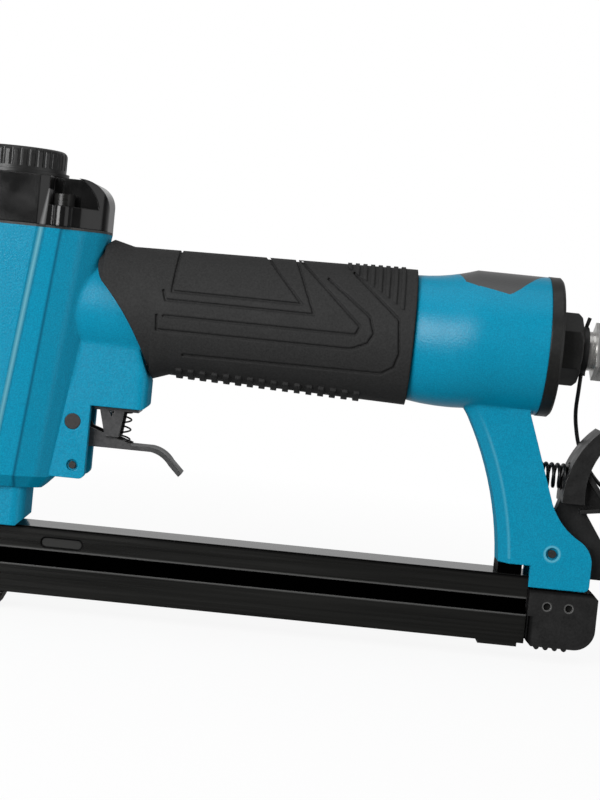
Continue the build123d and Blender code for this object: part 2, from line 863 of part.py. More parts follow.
def head_valve():
    low = sleeve_top_z + seal_t
    body = rod(head_valve_r, (0, 0, low), (0, 0, 1), head_valve_top_z - low)
    groove = 2 * head_spring_wire
    body -= tube(
        head_spring_r + groove,
        head_spring_r - groove,
        (0, 0, head_valve_top_z - head_spring_pocket),
        (0, 0, 1),
        head_spring_pocket,
    )
    return body - rod(port_r * 2, (0, 0, low), (0, 0, 1), head_valve_top_z)


def head_valve_seal():
    return tube(head_valve_r, bore_r - sleeve_wall, (0, 0, sleeve_top_z), (0, 0, 1), seal_t)


def head_valve_spring():
    coil = spring(
        "head_valve_spring", head_spring_r, head_spring_wire, head_spring_turns, head_spring_l, 4
    )
    return Pos(0, 0, head_valve_top_z - head_spring_pocket) * coil


def trigger():
    eye_x = trigger_pin_x - trigger_eye_r
    wall = make_face(
        [
            Line((eye_x, trigger_heel_z), (eye_x, trigger_pin_z)),
            ThreePointArc(
                (eye_x, trigger_pin_z),
                (trigger_pin_x, trigger_pin_z + trigger_eye_r),
                (trigger_pin_x + trigger_eye_r, trigger_pin_z),
            ),
            Line((trigger_pin_x + trigger_eye_r, trigger_pin_z), trigger_brow),
            Line(trigger_brow, (trigger_wall_x, trigger_top_z + trigger_lip)),
            Line((trigger_wall_x, trigger_top_z + trigger_lip), (trigger_wall_x, trigger_floor_z)),
            Line((trigger_wall_x, trigger_floor_z), (trigger_heel_x, trigger_floor_z)),
            Line((trigger_heel_x, trigger_floor_z), (eye_x, trigger_heel_z)),
        ]
    )
    tongue = make_face(
        [
            Line((trigger_heel_x, trigger_floor_z), (tongue_x, trigger_floor_z)),
            ThreePointArc((tongue_x, trigger_floor_z), tongue_low_mid, tongue_low_end),
            Line(tongue_low_end, tongue_tip_low),
            Line(tongue_tip_low, tongue_tip_top),
            Line(tongue_tip_top, tongue_top_end),
            ThreePointArc(tongue_top_end, tongue_top_mid, (tongue_x, trigger_top_z)),
            Line((tongue_x, trigger_top_z), (trigger_heel_x, trigger_top_z)),
            Line((trigger_heel_x, trigger_top_z), (trigger_heel_x, trigger_floor_z)),
        ]
    )
    body = plate(tongue, -trigger_half, trigger_half)
    body += both(plate(wall, trigger_half - trigger_sheet, trigger_half))
    body += rod(spring_boss_r, (trigger_spring_x, 0, trigger_top_z), (0, 0, 1), spring_boss_h)
    return body - pin(trigger_pin_r + slip, trigger_pin_x, trigger_pin_z, trigger_half)


def valve_plate():
    side = trigger_half + trigger_side + lug_t
    body = block(plate_front_x, plate_rear_x, -side, side, plate_low_z, valve_housing_z)
    lug = Polygon(
        (lug_x - lug_top / 2, plate_low_z),
        (lug_x - lug_low / 2 + lug_lean, plate_low_z - lug_l),
        (lug_x + lug_low / 2 + lug_lean, plate_low_z - lug_l),
        (lug_x + lug_top / 2, plate_low_z),
        align=None,
    )
    body += both(plate(lug, side - lug_t, side))
    notch = Polygon(
        (lug_x - lug_notch / 2, plate_low_z),
        (lug_x, plate_low_z - lug_notch),
        (lug_x + lug_notch / 2, plate_low_z),
        align=None,
    )
    body -= plate(notch, -side, side)
    return body - rod(valve_stem_r + free, (stem_x, 0, plate_low_z), (0, 0, 1), plate_t)


def valve_body():
    body = rod(valve_body_r, (stem_x, 0, valve_housing_z), (0, 0, 1), valve_body_h)
    for z in valve_ring_places:
        groove_r = valve_body_r - valve_ring_t
        body -= tube(2 * valve_body_r, groove_r, (stem_x, 0, z), (0, 0, 1), 2 * valve_ring_t)
    return body - rod(valve_stem_r + slip, (stem_x, 0, valve_housing_z), (0, 0, 1), valve_body_h)


def valve_o_rings():
    inner = valve_body_r - valve_ring_t + slip
    rings = [
        tube(valve_body_r, inner, (stem_x, 0, z + slip), (0, 0, 1), 2 * valve_ring_t - 2 * slip)
        for z in valve_ring_places
    ]
    return Compound(children=rings)


def valve_stem():
    return rod(valve_stem_r, (stem_x, 0, trigger_top_z + free), (0, 0, 1), valve_stem_l)


def trigger_spring():
    length = plate_low_z - trigger_top_z
    coil = spring("trigger_spring", trigger_spring_r, trigger_wire, trigger_turns, length, 4)
    return Pos(trigger_spring_x, 0, trigger_top_z) * coil


def lip(x, high, end_x):
    # Thickens the sleeve above and below towards x, and fades out at the sides and at the end
    ovals = []
    for place, more in ((x, high), (end_x, -slip)):
        share = (place - core_front_x) / (grip_rear_x - core_front_x)
        half_y = core_front_y + share * (core_rear_y - core_front_y)
        half_z = core_front_h + share * (core_rear_h - core_front_h)
        z = handle_z + share * (handle_rear_z - handle_z)
        ovals.append(oval(place, z, half_y + grip_t - slip, half_z + grip_t + more))
    return loft(ovals)


def stroke(points, width):
    # A line of even width through the points, with round ends and corners
    strokes = []
    for a, b in zip(points, points[1:]):
        run = Vector(*b) - Vector(*a)
        angle = math.degrees(math.atan2(run.Y, run.X))
        middle = (Vector(*a) + Vector(*b)) / 2
        strokes.append(Pos(middle.X, middle.Y) * SlotCenterToCenter(run.length, width, rotation=angle))
    return Sketch() + strokes


def grip_sleeve():
    below = block(core_front_x, end_x, -wide, wide, end_z - wide, handle_z)
    above = block(core_front_x, end_x, -wide, wide, handle_z, end_z + wide)
    routes = (panel_line, step_line, loop_line, inner_line, border_line)
    lines = Sketch() + [stroke(p, groove_w) for p in routes]
    skin = handle_core(grip_t + rib_h) - handle_core(grip_t - groove_depth)
    body = handle_core(grip_t)
    body += lip(top_lip_x, lip_h, top_lip_end_x) & above
    body += lip(low_lip_x, lip_h, low_lip_end_x) & below
    body -= skin & plate(lines, -wide, wide)
    ribs = [
        block(x, x + rib_l, -rib_half, rib_half, end_z - wide, handle_z)
        for x in (rib_x + i * rib_pitch for i in range(rib_n))
    ]
    bars = [
        block(x, x + chevron_w, -wide, wide, handle_z, end_z + wide)
        for x in (chevron_x + i * chevron_pitch for i in range(chevron_n))
    ]
    field = plate(Polygon(*chevron_field, align=None), -wide, wide)
    body += [
        handle_core(grip_t + rib_h) & (Part() + ribs),
        handle_core(grip_t + chevron_h) & field & (Part() + bars),
    ]
    body -= handle_core(slip)
    body -= head_block(free)
    front = make_face(
        [
            Line((core_front_x, end_z + wide), (grip_top_x, end_z + wide)),
            Line((grip_top_x, end_z + wide), grip_top_end),
            ThreePointArc(grip_top_end, grip_nose, grip_knee),
            ThreePointArc(grip_knee, grip_web, grip_low_end),
            Line(grip_low_end, (grip_low_end[0], end_z - wide)),
            Line((grip_low_end[0], end_z - wide), (core_front_x, end_z - wide)),
            Line((core_front_x, end_z - wide), (core_front_x, end_z + wide)),
        ]
    )
    body -= plate(front, -wide, wide)
    return body - block(grip_rear_x - grip_gap, end_x, -wide, wide, end_z - wide, end_z + wide)


def handle_end_cap():
    body = rod(end_cap_r, (end_x, 0, end_z), (1, 0, 0), end_cap_t)
    body = chamfer(body.edges().filter_by(GeomType.CIRCLE).sort_by(Axis.X)[-1], end_cap_chamfer)
    body += rod(spigot_r, (end_x - spigot_l, 0, end_z), (1, 0, 0), spigot_l)
    groove_x = end_x - spigot_l / 2
    body -= tube(end_cap_r, spigot_r - end_ring_t, (groove_x, 0, end_z), (1, 0, 0), 2 * end_ring_t)
    return body - rod(bush_thread_r + slip, (end_x - spigot_l, 0, end_z), (1, 0, 0), spigot_l + end_cap_t)


def end_cap_o_ring():
    x = end_x - spigot_l / 2 + slip
    inner = spigot_r - end_ring_t + slip
    return tube(spigot_r, inner, (x, 0, end_z), (1, 0, 0), 2 * end_ring_t - 2 * slip)


def inlet_bush():
    body = hexagon(bush_flats, bush_x, bush_l, end_z)
    corner = bush_flats / math.sqrt(3)
    turned = rod(corner, (bush_x, 0, end_z), (1, 0, 0), bush_l)
    turned = chamfer(turned.edges().filter_by(GeomType.CIRCLE), bush_chamfer)
    body &= turned
    body += rod(bush_thread_r, (end_x - spigot_l, 0, end_z), (1, 0, 0), spigot_l + end_cap_t)
    body -= rod(plug_thread_r + slip, (bush_x, 0, end_z), (1, 0, 0), bush_l)
    return body - rod(bush_bore_r, (end_x - spigot_l, 0, end_z), (1, 0, 0), spigot_l + end_cap_t)


def air_plug():
    start = bush_x + free
    body = rod(plug_thread_r, (start, 0, end_z), (1, 0, 0), collar_x - start)
    body += hexagon(plug_collar_flats, collar_x, plug_collar_l, end_z)
    tail = make_face(
        Polyline(
            (0, 0),
            (0, plug_r),
            (plug_seat_l, plug_r),
            (plug_seat_l + plug_slope, plug_groove_r),
            (plug_head_x - plug_slope, plug_groove_r),
            (plug_head_x, plug_r),
            (plug_head_end, plug_r),
            (plug_head_end + plug_slope, plug_tail_r),
            (plug_l - plug_slope, plug_tail_r),
            (plug_l, plug_tail_r - plug_slope),
            (plug_l, 0),
            close=True,
        )
    )
    turn = Plane(origin=(plug_x, 0, end_z), x_dir=(1, 0, 0), z_dir=(0, -1, 0))
    body += revolve(turn * tail, axis=Axis((plug_x, 0, end_z), (1, 0, 0)))
    return body - rod(plug_bore_r, (start, 0, end_z), (1, 0, 0), plug_end_x - start)


def tether_loop():
    start = (loop_x - loop_w / 2, 0, end_z)
    inner = plug_thread_r + slip
    middle = inner + cord_d / 2
    body = tube(inner + cord_d, inner, start, (1, 0, 0), loop_w)
    body += rod(cord_d / 2 - slip, (loop_x, 0, end_z + middle), tail_way, tail_l)
    x, y, z = cord_points[0]
    return body + rod(cord_d, (x, y, z), (0, 0, 1), end_z - middle - z)


def tether_cord():
    points = [Vector(*p) for p in cord_points]
    radii = []
    for a, b, c in zip(points, points[1:], points[2:]):
        turn = (b - a).get_angle(c - b)
        radii.append(cord_ease * min((b - a).length, (c - b).length) / math.tan(math.radians(turn / 2)))
    path = FilletPolyline(*points, radius=radii)
    body = sweep(Plane(origin=points[0], z_dir=path % 0) * Circle(cord_d / 2), path=path)
    ideal = math.pi * (cord_d / 2) ** 2 * path.length
    print("tether_cord: radii", [round(r, 1) for r in radii])
    print(f"tether_cord: length {path.length:.1f} mm, volume ratio {body.volume / ideal:.4f}")
    return body


def dust_cap():
    x, y, z = cord_points[-1]
    body = rod(cap_r, (x, y, z - cap_l), (0, 0, 1), cap_l)
    body = chamfer(body.edges().group_by(Axis.Z)[-1], cap_chamfer)
    return body - rod(cap_bore_r, (x, y, z - cap_l), (0, 0, 1), cap_l - cap_end_t)


def magazine_rail():
    half = [
        (0, rail_top_z),
        (rail_half, rail_top_z),
        (rail_half, skirt_z),
        (staple_half + leg_t, skirt_z),
        (staple_half + leg_t, core_low_z + free),
        (staple_half, core_low_z + free),
        (staple_half, rail_top_z - roof_t),
        (0, rail_top_z - roof_t),
    ]
    section = Polygon(*half, align=None)
    body = both(cross(section, rail_front_x, rail_rear_x))
    slot = Pos(slot_x, slot_z) * SlotOverall(slot_l, slot_h)
    return body - plate(slot, -rail_half, slot_sunk - rail_half)


def rail_spacer():
    return block(spacer_front_x, spacer_rear_x, -staple_half, staple_half, rail_top_z, strut_notch_z)


def magazine_channel():
    inner = staple_half + leg_t + free
    body = block(rail_front_x, channel_rear_x, -rail_half, rail_half, channel_floor_z, channel_top_z)
    body -= block(rail_front_x, channel_rear_x, -inner, inner, core_low_z, channel_top_z)
    low = channel_floor_z - channel_foot_h
    return body + block(channel_foot_x, channel_foot_end_x, -rail_half, rail_half, low, channel_floor_z)


def staple_core():
    body = block(core_front, core_rear, -core_half, core_half, core_low_z, core_top_z)
    inner = core_half - core_wall
    front = core_front + core_end
    rear = core_rear - core_end
    body -= block(front, rear, -inner, inner, core_low_z, core_top_z - core_wall)
    body -= block(front, rear, -core_slot / 2, core_slot / 2, core_low_z, core_top_z)
    return body - rod(rod_r + slip, (core_front, 0, rod_z), (1, 0, 0), core_rear - core_front)


def pusher():
    outer = core_half + free + pusher_wall
    body = block(pusher_x, feed_front_x, -outer, outer, pusher_skirt_z, pusher_top_z)
    body -= block(pusher_x, feed_front_x, -core_half - free, core_half + free, pusher_skirt_z, pusher_low_z)
    tab = core_slot / 2 - free
    body += block(feed_front_x - pusher_tab_l, feed_front_x, -tab, tab, rod_z - 2 * rod_r, pusher_low_z)
    eye = rod(2 * rod_r, (feed_front_x - pusher_tab_l, 0, rod_z), (1, 0, 0), pusher_tab_l)
    body += eye
    return body - rod(rod_r + slip, (feed_front_x - pusher_tab_l, 0, rod_z), (1, 0, 0), pusher_tab_l)


def pusher_rod():
    return rod(rod_r, (core_front, 0, rod_z), (1, 0, 0), core_rear - core_front)


def pusher_spring():
    length = feed_rear_x - feed_front_x
    coil = spring("pusher_spring", feed_spring_r, feed_wire, feed_turns, length, 2)
    return Plane(origin=(feed_front_x, 0, rod_z), z_dir=(1, 0, 0)) * coil


def magazine_grip():
    profile = Polygon(
        (block_x, block_low_z + grip_block_chamfer),
        (block_x + grip_block_chamfer, block_low_z),
        (block_end_x, block_low_z),
        (block_end_x, block_top_z - grip_block_chamfer),
        (block_end_x - grip_block_chamfer, block_top_z),
        (block_x, block_top_z),
        align=None,
    )
    corner = profile.vertices().filter_by(lambda v: v.X > block_x + grip_block_round and v.Y < grip_screw_z)
    body = plate(fillet(corner, grip_block_round), -grip_block_half, grip_block_half)
    for i in range(tooth_n):
        body += pin(tooth_r, block_x + tooth_x + i * tooth_pitch, block_low_z, grip_block_half)
    for i in range(2):
        x = block_x + grip_screw_x + i * grip_screw_step
        body -= pin(grip_screw_r + slip, x, grip_screw_z, grip_block_half)
    return body


def grip_screws():
    half = grip_block_half - grip_screw_sunk
    rods = [
        pin(grip_screw_r, block_x + grip_screw_x + i * grip_screw_step, grip_screw_z, half)
        for i in range(2)
    ]
    return Compound(children=rods)


def nose_guide():
    foot = Polygon(
        (blade_slot_x, 0),
        (foot_rear_x - foot_chamfer, 0),
        (foot_rear_x, foot_h),
        (blade_slot_x, foot_h),
        align=None,
    )
    body = plate(foot, -nose_tip_half, nose_tip_half)
    side = block(-blade_slot_x, blade_slot_x, blade_slot_y, nose_tip_half, 0, rail_top_z)
    return body + both(side)


def nose_plate():
    front = plate_front_face - nose_plate_t
    face = Polygon(
        (nose_half, head_floor_z),
        (nose_half, nose_shoulder_z),
        (nose_tip_half, nose_tip_z),
        (nose_tip_half, 0),
        (-nose_tip_half, 0),
        (-nose_tip_half, nose_tip_z),
        (-nose_half, nose_shoulder_z),
        (-nose_half, head_floor_z),
        align=None,
    )
    body = cross(face, front, plate_front_face)
    body = chamfer(body.edges().filter_by(Axis.Y).group_by(Axis.Z)[0].sort_by(Axis.X)[0], nose_chamfer)
    for y in (-nose_screw_y, nose_screw_y):
        body -= rod(nose_screw_r + slip, (front, y, nose_screw_z), (1, 0, 0), nose_plate_t)
    return body


def nose_screws():
    front = plate_front_face - nose_plate_t
    screw = rod(nose_screw_r, (front, 0, nose_screw_z), (1, 0, 0), nose_plate_t + nose_screw_l)
    head_x = front - nose_screw_head_h
    screw += rod(nose_screw_head_r, (head_x, 0, nose_screw_z), (1, 0, 0), nose_screw_head_h)
    return Compound(children=[Pos(0, y, 0) * screw for y in (-nose_screw_y, nose_screw_y)])


def latch_lever():
    pad = make_face(
        [
            Line((latch_front_x, latch_pad_z), (latch_rear_x, latch_pad_z)),
            ThreePointArc((latch_rear_x, latch_pad_z), latch_rear_mid, latch_tip_rear),
            Line(latch_tip_rear, latch_tip_front),
            ThreePointArc(latch_tip_front, latch_front_mid, (latch_front_x, latch_pad_z)),
        ]
    )
    neck = Polygon(
        (latch_front_x + free, latch_pad_z + latch_neck_lap),
        (latch_rear_x - free, latch_pad_z + latch_neck_lap),
        latch_waist,
        latch_knee,
        (latch_hook_end_x, latch_hook_z),
        (latch_hook_x, latch_hook_z),
        (latch_heel_x, latch_heel_z),
        (latch_toe_x, latch_heel_z),
        latch_toe_top,
        latch_shin,
        align=None,
    )
    body = plate(pad, -latch_half, latch_half)
    body += plate(neck, -latch_neck_half, latch_neck_half)
    tab = plate(Polygon(*latch_tab, align=None), -latch_tab_half, latch_tab_half)
    tab += plate(Polygon(*latch_shelf, align=None), -latch_tab_half, latch_tab_half)
    body += tab + plate(Polygon(*latch_rib, align=None), -latch_neck_half, latch_neck_half)
    end = latch_seat_x + latch_spring_l
    body += rod(latch_boss_r, (end, 0, latch_spring_z), (1, 0, 0), latch_seat_t)
    body -= rod(latch_boss_r, (end - latch_boss_l, 0, latch_spring_z), (1, 0, 0), latch_boss_l)
    return body - pin(latch_pin_r + slip, latch_x, latch_z, latch_half)


def latch_spring():
    coil = spring("latch_spring", latch_spring_r, latch_wire, latch_turns, latch_spring_l, 4)
    return Plane(origin=(latch_seat_x, 0, latch_spring_z), z_dir=(1, 0, 0)) * coil


os.makedirs("parts", exist_ok=True)
pieces = [
    main_housing, cylinder_cap, cap_gasket, cap_screws, exhaust_deflector, deflector_screw,
    cylinder_sleeve, sleeve_o_rings, piston, piston_ring, driver_blade, driver_pin, bumper,
    head_valve, head_valve_seal, head_valve_spring, trigger, valve_plate, valve_body, valve_o_rings,
    valve_stem, trigger_spring, grip_sleeve, handle_end_cap, end_cap_o_ring, inlet_bush, air_plug,
    tether_loop, tether_cord, dust_cap, magazine_rail, rail_spacer, magazine_channel, staple_core,
    pusher, pusher_rod, pusher_spring, magazine_grip, grip_screws, nose_guide, nose_plate,
    nose_screws, latch_lever, latch_spring,
]
for piece in pieces:
    write(piece(), piece.__name__)
write(pin(trigger_pin_r, trigger_pin_x, trigger_pin_z, cheek_half), "trigger_pin")
write(pin(bracket_pin_r, bracket_pin_x, bracket_pin_z, cheek_half), "bracket_pin")
write(pin(latch_pin_r, latch_x, latch_z, strut_half), "latch_pin")
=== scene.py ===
import json
import math
import bpy
from mathutils import Matrix, Vector


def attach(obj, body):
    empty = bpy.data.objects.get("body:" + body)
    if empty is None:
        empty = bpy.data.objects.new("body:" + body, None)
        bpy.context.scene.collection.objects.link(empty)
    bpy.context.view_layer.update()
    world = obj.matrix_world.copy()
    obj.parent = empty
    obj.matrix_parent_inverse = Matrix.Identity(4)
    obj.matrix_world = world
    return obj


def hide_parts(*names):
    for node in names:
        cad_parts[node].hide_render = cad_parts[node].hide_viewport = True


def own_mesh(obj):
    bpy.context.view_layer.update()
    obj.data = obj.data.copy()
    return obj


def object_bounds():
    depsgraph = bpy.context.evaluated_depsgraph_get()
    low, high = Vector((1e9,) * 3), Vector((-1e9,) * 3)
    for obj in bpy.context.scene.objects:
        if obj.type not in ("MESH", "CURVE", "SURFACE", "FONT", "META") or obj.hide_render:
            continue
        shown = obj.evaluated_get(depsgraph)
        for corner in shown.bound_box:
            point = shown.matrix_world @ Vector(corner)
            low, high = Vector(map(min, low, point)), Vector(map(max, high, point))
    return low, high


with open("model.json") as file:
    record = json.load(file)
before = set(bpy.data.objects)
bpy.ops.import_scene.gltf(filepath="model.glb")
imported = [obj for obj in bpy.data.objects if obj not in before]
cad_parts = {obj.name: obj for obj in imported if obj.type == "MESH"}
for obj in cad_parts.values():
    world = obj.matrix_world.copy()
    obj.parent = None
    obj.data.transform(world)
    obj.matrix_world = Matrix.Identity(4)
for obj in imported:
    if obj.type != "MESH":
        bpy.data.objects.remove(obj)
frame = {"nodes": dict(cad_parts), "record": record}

cadNodes = frame["nodes"]
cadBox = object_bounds()
scene = bpy.context.scene
scene.view_settings.view_transform = "Standard"
print("frame loaded,", len(cadNodes), "nodes")


# Camera at the angle of the photograph
shot = {
    "lookAt": (0.1024, -0.011, 0.0802), "yaw": 0.0, "lift": 3.2, "roll": 5.75,
    "away": 0.634, "lens": 85.5, "sensor": 36,
}


def turn(degrees, axis):
    return Matrix.Rotation(math.radians(degrees), 4, axis)


def placeCamera():
    bpy.ops.object.camera_add()
    camera = bpy.context.object
    camera.name = "photoCamera"
    camera.data.lens = shot["lens"]
    camera.data.sensor_width = shot["sensor"]
    facing = turn(shot["yaw"], "Z") @ turn(90 - shot["lift"], "X") @ turn(shot["roll"], "Z")
    place = Vector(shot["lookAt"]) + facing.to_3x3() @ Vector((0, 0, shot["away"]))
    camera.matrix_world = Matrix.Translation(place) @ facing
    scene.camera = camera


placeCamera()
print("camera placed")


# Lines: lengths of the tether and the springs are in millimetres
metre = 1000


def mm(point):
    return Vector(point) / metre


def clearSelection():
    if bpy.context.object and bpy.context.object.mode != "OBJECT":
        bpy.ops.object.mode_set(mode="OBJECT")
    bpy.ops.object.select_all(action="DESELECT")


def startLine(name, points, order, steps, sides):
    data = bpy.data.curves.new(name, "CURVE")
    data.dimensions = "3D"
    line = data.splines.new("NURBS")
    line.points.add(len(points) - 1)
    for knot, place in zip(line.points, points):
        knot.co = (*mm(place), 1)
    line.order_u = order
    line.use_endpoint_u = True
    line.resolution_u = steps
    data.bevel_resolution = sides
    data.use_fill_caps = True
    piece = bpy.data.objects.new(name, data)
    scene.collection.objects.link(piece)
    return piece


tether = {
    "thick": 1.4,
    "long": 63.3,
    "route": [
        (196.25, 0.0, 97.4), (196.1, 0.0, 92.4), (196.4, 4.6, 85.8), (197.7, 9.8, 80.2), (200.0, 12.2, 72.0),
        (204.6, 12.6, 64.2), (209.4, 12.8, 59.2), (217.4, 13.0, 55.2), (219.0, 13.0, 50.2), (219.0, 13.0, 46.0),
    ],
    "order": 3, "steps": 12, "sides": 4,
}


def makeTether():
    cord = startLine("tetherLine", tether["route"], tether["order"], tether["steps"], tether["sides"])
    cord.data.bevel_depth = 1  # the points' own radius gives the thickness
    for knot in cord.data.splines[0].points:
        knot.radius = tether["thick"] / 2 / metre
    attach(cord, "housing")
    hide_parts("tether_cord")
    return cord


tetherCord = makeTether()
print("tether laid")


# Coil springs: axis start and direction, length, coil radius, wire, working turns, and the joint that presses them
springs = {
    "triggerCoil": {
        "node": "trigger_spring", "body": "housing", "start": (43.9, 0, 58.9), "way": (0, 0, 1), "long": 11.2,
        "radius": 2.3, "wire": 0.62, "turns": 3.0,
        "joint": "trigger_pull", "anchor": (43.9, 0, 70.1), "keep": 0.575,
        "press": (0.249, 0, 0.969),  # leans with the lever as it swings up
    },
    "latchCoil": {
        "node": "latch_spring", "body": "housing", "start": (185.2, 0, 62.8), "way": (1, 0, 0), "long": 12.2,
        "radius": 3.9, "wire": 1.2, "turns": 5.0,
        "joint": "latch_press", "anchor": (185.2, 0, 62.8), "keep": 0.685,
    },
    "headValveCoil": {
        "node": "head_valve_spring", "body": "housing", "start": (0, 0, 130.0), "way": (0, 0, 1), "long": 9.0,
        "radius": 9.0, "wire": 1.2, "turns": 2.0,
        "joint": "head_valve_lift", "anchor": (0, 0, 139.0), "keep": 0.66,
    },
    "pusherCoil": {
        "node": "pusher_spring", "body": "magazine", "start": (19.3, 0, 17.8), "way": (1, 0, 0), "long": 161.9,
        "radius": 2.6, "wire": 0.8, "turns": 26.0,
        "joint": "pusher_travel", "anchor": (181.2, 0, 17.8), "keep": 0.442,
    },
}
# the closed end turns climb by a share of the wire in each turn
winding = {"endTurns": 0.75, "endClimb": 0.6, "stepsPerTurn": 16, "order": 4, "steps": 2, "sides": 3}


def coilPoints(coil):
    # closed end turns lie flat on the seats, the working turns climb between them
    wire, turns, flat = coil["wire"], coil["turns"], winding["endTurns"]
    rise = wire * winding["endClimb"]
    climb = coil["long"] - wire - 2 * flat * rise
    whole = turns + 2 * flat
    count = int(whole * winding["stepsPerTurn"])
    toAxis = Vector((0, 0, 1)).rotation_difference(Vector(coil["way"])).to_matrix()
    points = []
    for i in range(count + 1):
        t = whole * i / count
        low = min(t, flat) * rise
        middle = min(max(t - flat, 0), turns) / turns * climb
        high = max(t - flat - turns, 0) * rise
        angle = 2 * math.pi * t
        place = Vector((
            coil["radius"] * math.cos(angle), coil["radius"] * math.sin(angle), wire / 2 + low + middle + high,
        ))
        points.append(Vector(coil["start"]) + toAxis @ place)
    return points


def makeCoil(name, coil):
    piece = startLine(name, coilPoints(coil), winding["order"], winding["steps"], winding["sides"])
    piece.data.bevel_depth = coil["wire"] / 2 / metre
    clearSelection()
    piece.select_set(True)
    bpy.context.view_layer.objects.active = piece
    bpy.ops.object.convert(target="MESH")
    piece = bpy.context.object
    bpy.ops.object.shade_smooth()
    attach(piece, coil["body"])
    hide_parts(coil["node"])
    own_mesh(piece)
    return piece


coils = [makeCoil(name, coil) for name, coil in springs.items()]
print("springs wound,", len(coils))


# Finishes: positions in them are in metres, relief and eased edges in millimetres
noiseSpan = (0.3, 0.7)  # where most of a noise's values lie
bevelSamples = 6


def grey(level):
    return (level, level, level)


def startFinish(name):
    finish = bpy.data.materials.new(name)
    finish.use_nodes = True
    tree = finish.node_tree
    shader = tree.nodes["Principled BSDF"]
    place = tree.nodes.new("ShaderNodeTexCoord")
    return finish, tree, shader, place.outputs["Object"]


def addNoise(tree, place, scale, detail=3.0, rough=0.5):
    noise = tree.nodes.new("ShaderNodeTexNoise")
    noise.inputs["Scale"].default_value = scale
    noise.inputs["Detail"].default_value = detail
    noise.inputs["Roughness"].default_value = rough
    tree.links.new(place, noise.inputs["Vector"])
    return noise.outputs["Fac"]


def addRamp(tree, value, stops):
    ramp = tree.nodes.new("ShaderNodeValToRGB")
    while len(ramp.color_ramp.elements) < len(stops):
        ramp.color_ramp.elements.new(0.5)
    for element, (position, colour) in zip(ramp.color_ramp.elements, stops):
        element.position = position
        element.color = (*colour, 1)
    tree.links.new(value, ramp.inputs["Fac"])
    return ramp.outputs["Color"]


def addRange(tree, value, low, high, toLow, toHigh):
    spread = tree.nodes.new("ShaderNodeMapRange")
    spread.inputs["From Min"].default_value = low
    spread.inputs["From Max"].default_value = high
    spread.inputs["To Min"].default_value = toLow
    spread.inputs["To Max"].default_value = toHigh
    tree.links.new(value, spread.inputs["Value"])
    return spread.outputs["Result"]


def addMath(tree, kind, *values):
    step = tree.nodes.new("ShaderNodeMath")
    step.operation = kind
    for socket, value in zip(step.inputs, values):
        if isinstance(value, (int, float)):
            socket.default_value = value
        else:
            tree.links.new(value, socket)
    return step.outputs["Value"]


def addProduct(tree, first, *others):
    for other in others:
        first = addMath(tree, "MULTIPLY", first, other)
    return first


def addMost(tree, first, *others):
    for other in others:
        first = addMath(tree, "MAXIMUM", first, other)
    return first


def addSize(tree, value):
    return addMath(tree, "ABSOLUTE", value)


def addOver(tree, value, limit):
    return addMath(tree, "GREATER_THAN", value, limit)


def addUnder(tree, value, limit):
    return addMath(tree, "LESS_THAN", value, limit)


def addMix(tree, share, first, second):
    mix = tree.nodes.new("ShaderNodeMix")
    mix.data_type = "RGBA"
    tree.links.new(share, mix.inputs["Factor"])
    for name, value in (("A", first), ("B", second)):
        socket = [s for s in mix.inputs if s.name == name and s.type == "RGBA"][0]
        if isinstance(value, tuple):
            socket.default_value = (*value, 1)
        else:
            tree.links.new(value, socket)
    return [s for s in mix.outputs if s.type == "RGBA"][0]


def addSplit(tree, place):
    split = tree.nodes.new("ShaderNodeSeparateXYZ")
    tree.links.new(place, split.inputs["Vector"])
    return split.outputs


def addTurn(tree, axis):
    # how squarely a face looks along one axis of its own piece, either way
    lie = tree.nodes.new("ShaderNodeTexCoord")
    return addSize(tree, addSplit(tree, lie.outputs["Normal"])[axis])


def addBand(tree, value, middle, wide):
    # one on the line, falling to nothing at its sides
    off = addSize(tree, addMath(tree, "SUBTRACT", value, middle))
    near = addMath(tree, "SUBTRACT", 1, addMath(tree, "DIVIDE", off, wide))
    return addMost(tree, near, 0)


def addRing(tree, x, z, middle, arc, wide):
    # a ring about an axis that runs across the tool
    flat = tree.nodes.new("ShaderNodeCombineXYZ")
    tree.links.new(x, flat.inputs["X"])
    tree.links.new(z, flat.inputs["Z"])
    apart = tree.nodes.new("ShaderNodeVectorMath")
    apart.operation = "DISTANCE"
    tree.links.new(flat.outputs["Vector"], apart.inputs[0])
    apart.inputs[1].default_value = middle
    return addBand(tree, apart.outputs["Value"], arc, wide)


def addSurface(tree, shader, height, deep, edge):
    # fine relief over edges that are eased as a casting's or a moulding's are
    bump = tree.nodes.new("ShaderNodeBump")
    bump.inputs["Strength"].default_value = 1.0
    bump.inputs["Distance"].default_value = deep / metre
    tree.links.new(height, bump.inputs["Height"])
    if edge:
        eased = tree.nodes.new("ShaderNodeBevel")
        eased.samples = bevelSamples
        if isinstance(edge, (int, float)):
            eased.inputs["Radius"].default_value = edge / metre
        else:
            tree.links.new(edge, eased.inputs["Radius"])
        tree.links.new(eased.outputs["Normal"], bump.inputs["Normal"])
    tree.links.new(bump.outputs["Normal"], shader.inputs["Normal"])


